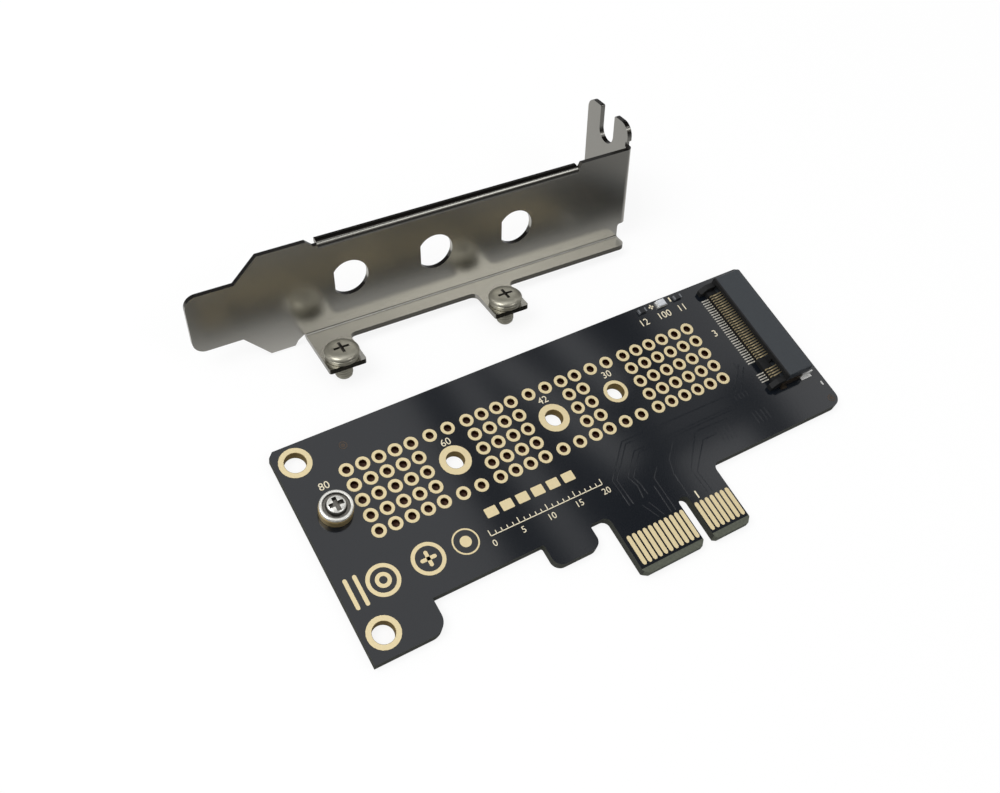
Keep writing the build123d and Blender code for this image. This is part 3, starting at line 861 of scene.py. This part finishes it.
class CARD_OT_marks(bpy.types.Operator):
    """Printed sizes beside the drive holes, plain gold pads and a ruler"""
    bl_idname = "card.marks"
    bl_label = "Printed marks"

    def execute(self, context):
        gold = bmesh.new()
        for mark in GOLD_BARS:
            bar(gold, *mark, GOLD_RISE)
        for mark in GOLD_RINGS:
            ring(gold, *mark, GOLD_RISE)
        piece(gold, "register_marks", immersion_gold)
        piece(self.prints(), "printed_figures", printed_ink)
        dots = bmesh.new()
        for x, y in AIMING_MARKS:
            ring(dots, x, y, *AIMING_RING)
            ring(dots, x, y, *AIMING_DOT)
        piece(dots, "aiming_rings", bare_copper)
        speck = bmesh.new()
        bar(speck, *SOLDER_SPECK)
        piece(speck, "solder_speck", tin_plate)
        return {"FINISHED"}

    def prints(self):
        ink = bmesh.new()
        middle = RULER_START + RULER_LENGTH / 2
        bar(ink, middle, RULER_Y, RULER_LENGTH, RULER_WIDTH, RULER_CORNER, INK_RISE)
        for step in range(RULER_LENGTH + 1):
            tick = RULER_LONG_TICK if step % 5 == 0 else RULER_TICK
            bar(ink, RULER_START + step, RULER_Y + tick / 2, RULER_WIDTH, tick, RULER_CORNER, INK_RISE)
        for mark in INK_BARS:
            bar(ink, *mark, INK_CORNER, INK_RISE)
        prints = [figures(*each) for each in FIGURES]
        prints += [figures(str(step), RULER_START + step, RULER_Y - RULER_FIGURE_DROP, RULER_FIGURE)
                   for step in range(0, RULER_LENGTH + 1, 5)]
        return joined([ink, *prints])


class CARD_OT_socket(bpy.types.Operator):
    """Drive socket with its contacts and solder lugs"""
    bl_idname = "card.socket"
    bl_label = "Drive socket"

    def execute(self, context):
        dress(moulded_plastic, "socket_housing")
        dress(spring_contacts, "socket_lower_contacts")
        dress(tin_plate, "socket_upper_contacts")
        dress(soldered_lug, "socket_lug_near", "socket_lug_far")
        return {"FINISHED"}


class CARD_OT_standoff(bpy.types.Operator):
    """Brass standoff and the screw that holds a drive on it"""
    bl_idname = "card.standoff"
    bl_label = "Standoff and its screw"

    def execute(self, context):
        foot = turned(STANDOFF, HEAD_SIDES, closed=True)
        moved(foot, (DRIVE_HOLES[0], DRIVE_AXIS, 0))
        piece(foot, "turned_standoff", turned_brass, replaces=("drive_standoff",))
        head = turned(DRIVE_SCREW, HEAD_SIDES)
        # The groove's faces take the recess's painted shade
        for face in head.faces:
            middle = face.calc_center_median()
            if GROOVE[0] < middle.xy.length / MM < GROOVE[1] and middle.z > 0:
                face.material_index = 1
        screw = carved(head, cross_cutter(height=1.15, span=2.36, width=0.7, depth=0.7))
        thread(screw, root=0.86, crest=0.995, pitch=0.4, low=-2.35, high=-0.1)
        moved(screw, (DRIVE_HOLES[0], DRIVE_AXIS, STANDOFF_TOP))
        piece(screw, "drive_fixing_screw", nickel_plate, replaces=("drive_screw",),
              within=recess_steel)
        return {"FINISHED"}


class CARD_OT_lamp(bpy.types.Operator):
    """Status light and its two resistors"""
    bl_idname = "card.lamp"
    bl_label = "Status light and resistors"

    def execute(self, context):
        dress(lamp_laminate, "light_base")
        dress(lens_resin, "light_lens")
        dress(tin_plate, "light_ends")
        dress(dulled_tin, "resistor_ends_left", "resistor_ends_right")
        dress(resistor_glass, "resistor_left", "resistor_right")
        return {"FINISHED"}


class CARD_OT_bracket(bpy.types.Operator):
    """Folded steel bracket and its two screws"""
    bl_idname = "card.bracket"
    bl_label = "Bracket and its screws"

    def execute(self, context):
        dress(rolled_steel, "bracket")
        for side, (x, y) in zip(("left", "right"), TAB_HOLES):
            head = turned(TAB_SCREW, HEAD_SIDES)
            screw = carved(head, cross_cutter(height=1.85, span=2.7, width=0.5, depth=0.7))
            thread(screw, root=1.2, crest=1.45, pitch=0.5, low=-3.75, high=-0.9)
            moved(screw, (x, y, 0))
            stood = Matrix.Translation(BRACKET_FOOT) @ BRACKET_TURN
            bmesh.ops.transform(screw, matrix=stood, verts=screw.verts)
            piece(screw, "tab_screw_" + side, dull_nickel,
                  replaces=("bracket_screw_" + side,), within=recess_steel)
        return {"FINISHED"}


class CARD_OT_stage(bpy.types.Operator):
    """Pale floor, soft lamps and the camera"""
    bl_idname = "card.stage"
    bl_label = "Stage"

    def execute(self, context):
        scene = context.scene
        look = settings().stage
        scene.view_settings.view_transform = "Standard"
        self.floor(look)
        self.surroundings(scene)
        self.lamps(look)
        self.camera(scene)
        return {"FINISHED"}

    def floor(self, look):
        shape = bmesh.new()
        bmesh.ops.create_grid(shape, x_segments=1, y_segments=1, size=look.floor_size / 2)
        ground = shown("floor", solid("floor", shape))
        material = bpy.data.materials.new("white_paper")
        material.use_nodes = True
        tree = material.node_tree
        tree.nodes.remove(tree.nodes["Principled BSDF"])
        ray = add(tree, "ShaderNodeLightPath").outputs
        seen = maths(tree, "MAXIMUM", ray["Is Camera Ray"], ray["Is Glossy Ray"])
        seen = maths(tree, "MAXIMUM", seen, ray["Is Transmission Ray"])
        share = maths(tree, "MULTIPLY", seen, 0.85)
        away = along(tree, add(tree, "ShaderNodeTexCoord").outputs["Object"], "Y")
        # As metal mirrors it, the floor darkens towards the camera's side, and halves behind the bracket
        near = ramp(tree, away, 40 * MM, 70 * MM, 0.11, 0.88)
        far = ramp(tree, away, 66 * MM, 74 * MM, 1.0, 0.5)
        level = between(tree, ray["Is Camera Ray"], maths(tree, "MULTIPLY", near, far), 1.0)
        paper = add(tree, "ShaderNodeBsdfDiffuse", {"Color": toned(look.floor_colour)}).outputs[0]
        glow = add(tree, "ShaderNodeEmission", {"Color": (1, 1, 1, 1), "Strength": level}).outputs[0]
        mixed = add(tree, "ShaderNodeMixShader", {0: share, 1: paper, 2: glow}).outputs[0]
        tree.links.new(mixed, tree.nodes["Material Output"].inputs["Surface"])
        ground.data.materials.append(material)

    def surroundings(self, scene):
        """A room that metal sees dark in front and above, and all else sees pale"""
        world = bpy.data.worlds.new("studio")
        scene.world = world
        world.use_nodes = True
        tree = world.node_tree
        ray = add(tree, "ShaderNodeLightPath").outputs
        way = add(tree, "ShaderNodeTexCoord").outputs["Generated"]
        side = ramp(tree, dot(tree, way, (0.2, -0.98, 0.0)), -0.2, 0.5, 0.75, 0.06)
        above = ramp(tree, along(tree, way, "Z"), 0.3, 0.65)
        room = between(tree, above, side, 0.15)
        clear = maths(tree, "MAXIMUM", ray["Is Glossy Ray"], ray["Is Transmission Ray"])
        level = between(tree, ray["Is Camera Ray"], between(tree, clear, 0.55, room), 1.0)
        back = tree.nodes["Background"]
        tree.links.new(level, back.inputs["Strength"])
        back.inputs["Color"].default_value = (1, 1, 1, 1)

    def lamps(self, look):
        for name, place, aim, size, share in LAMPS:
            spot = Vector(place) * MM
            turn = (spot - Vector(aim) * MM).to_track_quat("Z", "Y").to_matrix().to_4x4()
            self.lamp(name, Matrix.Translation(spot) @ turn, size, look.key_power * share)
        for name, centre, size, turn, brightness in SOFTBOXES:
            spot = [c * CEILING_SCALE + shift for c, shift in zip(centre, CEILING_SHIFT)]
            size = [s * CEILING_SCALE for s in size]
            turned_by = Matrix.Rotation(math.radians(turn), 4, "Z")
            place = Matrix.Translation(Vector((*spot, CEILING)) * MM) @ turned_by
            self.lamp(name, place, size, look.key_power * brightness * size[0] * size[1] * MM * MM)

    def lamp(self, name, place, size, power):
        lamp = bpy.data.lights.new(name, "AREA")
        lamp.shape = "RECTANGLE"
        lamp.size = size[0] * MM
        lamp.size_y = size[1] * MM
        lamp.energy = power
        shown(name, lamp).matrix_world = place

    def camera(self, scene):
        view = bpy.data.cameras.new("camera")
        view.sensor_fit = "HORIZONTAL"
        view.sensor_width = SENSOR_WIDTH
        view.lens = CAMERA_LENS
        view.clip_start = 0.01
        view.clip_end = 20.0
        axes = Matrix((CAMERA_RIGHT, -CAMERA_DOWN, -CAMERA_FORWARD)).transposed()
        scene.camera = shown("camera", view)
        scene.camera.matrix_world = Matrix.Translation(CAMERA_PLACE) @ axes.to_4x4()


OPERATORS = (CARD_OT_board, CARD_OT_vents, CARD_OT_marks, CARD_OT_socket, CARD_OT_standoff, CARD_OT_lamp,
             CARD_OT_bracket, CARD_OT_stage)


class CARD_PT_panel(bpy.types.Panel):
    """Sizes, colours and pieces of the adapter card"""
    bl_idname = "CARD_PT_panel"
    bl_label = "Adapter card"
    bl_space_type = "VIEW_3D"
    bl_region_type = "UI"
    bl_category = "Adapter card"

    def draw(self, context):
        for group in ("board", "plating", "bracket", "stage"):
            box = self.layout.box()
            look = getattr(settings(), group)
            for name in look.__annotations__:
                box.prop(look, name)
        for operator in OPERATORS:
            self.layout.operator(operator.bl_idname)


CLASSES = (BoardLook, PlatingLook, BracketLook, StageLook, CardLook, *OPERATORS, CARD_PT_panel)


def register():
    for each in CLASSES:
        bpy.utils.register_class(each)
    bpy.types.Scene.adapter_card = PointerProperty(type=CardLook)


def unregister():
    del bpy.types.Scene.adapter_card
    for each in reversed(CLASSES):
        bpy.utils.unregister_class(each)


def main():
    register()
    for operator in OPERATORS:
        group, name = operator.bl_idname.split(".")
        getattr(getattr(bpy.ops, group), name)()


if __name__ == "__main__":
    main()
